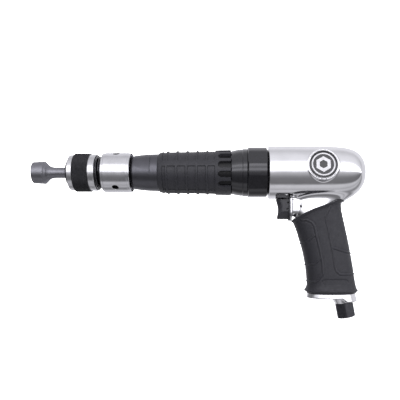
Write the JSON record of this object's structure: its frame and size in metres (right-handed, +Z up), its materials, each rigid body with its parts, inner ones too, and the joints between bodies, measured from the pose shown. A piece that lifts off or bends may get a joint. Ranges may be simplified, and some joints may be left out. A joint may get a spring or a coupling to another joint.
{
  "type": "pneumatic rivet gun",
  "caption": "Pistol-grip pneumatic rivet gun with a quick-change retainer, a flush rivet set, a rubber barrel sleeve and a hexagonal air inlet.",
  "frame": {"origin": "centre of the rivet set's working face", "axes": "+X back along the barrel, -X the way the set strikes, +Z up, the grip hangs towards -Z"},
  "size_m": [0.3718, 0.0619, 0.1932],
  "materials": {
    "set_steel": "turned and ground tool steel, satin",
    "black_steel": "black oxide steel, satin",
    "bright_steel": "fine turned bright steel",
    "ball_steel": "polished hardened steel",
    "spring_steel": "oiled spring wire",
    "chrome": "bright chrome plate",
    "barrel_steel": "dark grey phosphated steel, satin",
    "sleeve_rubber": "moulded rubber, fine matt grain",
    "gloss_black": "glossy black plated steel",
    "seal_rubber": "smooth nitrile rubber",
    "valve_steel": "ground steel",
    "polished_aluminium": "polished cast aluminium",
    "badge_black": "gloss black enamel",
    "trigger_plastic": "moulded black plastic, satin",
    "grip_rubber": "moulded rubber, fine matt grain",
    "inlet_black": "black oxide steel, satin",
    "screen_brass": "woven wire screen"
  },
  "bodies": {
    "gun": {"retainer_nose": "black_steel", "nose_stop_ring": "black_steel", "spring_seat": "black_steel", "collar_spring": "spring_steel", "retainer_nut": "chrome", "barrel": "barrel_steel", "barrel_sleeve": "sleeve_rubber", "barrel_shroud": "gloss_black", "barrel_nut": "gloss_black", "nut_seal": "seal_rubber", "valve_case_front": "valve_steel", "valve_case_rear": "valve_steel", "case_pin": "ball_steel", "housing": "polished_aluminium", "badge_ring": "polished_aluminium", "badge_disc": "badge_black", "trigger_bezel": "trigger_plastic", "throttle_flange": "chrome", "throttle_bushing": "valve_steel", "throttle_spring": "spring_steel", "stem_seal": "seal_rubber", "stop_pin": "black_steel", "grip": "grip_rubber", "base_plate": "polished_aluminium", "plate_screw": "ball_steel", "inlet_bushing": "inlet_black", "inlet_screen": "screen_brass", "inlet_seal": "seal_rubber"},
    "set": {"rivet_set": "set_steel"},
    "collar": {"collar_body": "bright_steel", "collar_band": "black_steel", "collar_rear_ring": "bright_steel", "collar_snap_ring": "black_steel"},
    "ball_1": {"locking_ball_1": "ball_steel"},
    "ball_2": {"locking_ball_2": "ball_steel"},
    "ball_3": {"locking_ball_3": "ball_steel"},
    "hammer": {"piston": "ball_steel"},
    "valve": {"cycle_valve": "valve_steel"},
    "trigger": {"trigger": "trigger_plastic", "trigger_pin": "black_steel", "throttle_stem": "valve_steel", "throttle_valve": "valve_steel"}
  },
  "joints": [
    {"name": "set_slide", "type": "slide", "parent": "gun", "child": "set", "axis": [-1, 0, 0], "range_m": [0, 0.008]},
    {"name": "collar_slide", "type": "slide", "parent": "gun", "child": "collar", "axis": [1, 0, 0], "range_m": [0, 0.004], "stiffness_N_per_m": 2500, "springref_m": -0.006, "deforming": ["collar_spring"]},
    {"name": "ball_1_slide", "type": "slide", "parent": "gun", "child": "ball_1", "axis": [0, 0, 1], "range_m": [0, 0.0015]},
    {"name": "ball_2_slide", "type": "slide", "parent": "gun", "child": "ball_2", "axis": [0, 0.866, -0.5], "range_m": [0, 0.0015]},
    {"name": "ball_3_slide", "type": "slide", "parent": "gun", "child": "ball_3", "axis": [0, -0.866, -0.5], "range_m": [0, 0.0015]},
    {"name": "piston_slide", "type": "slide", "parent": "gun", "child": "hammer", "axis": [-1, 0, 0], "range_m": [0, 0.094]},
    {"name": "valve_slide", "type": "slide", "parent": "gun", "child": "valve", "axis": [1, 0, 0], "range_m": [0, 0.0016]},
    {"name": "trigger_slide", "type": "slide", "parent": "gun", "child": "trigger", "axis": [1, 0, 0], "range_m": [0, 0.003], "stiffness_N_per_m": 1500, "springref_m": -0.006, "deforming": ["throttle_spring"]}
  ],
  "couplings": [
    {"joint": "ball_1_slide", "follows": "collar_slide", "ratio": 0.375},
    {"joint": "ball_2_slide", "follows": "collar_slide", "ratio": 0.375},
    {"joint": "ball_3_slide", "follows": "collar_slide", "ratio": 0.375}
  ]
}
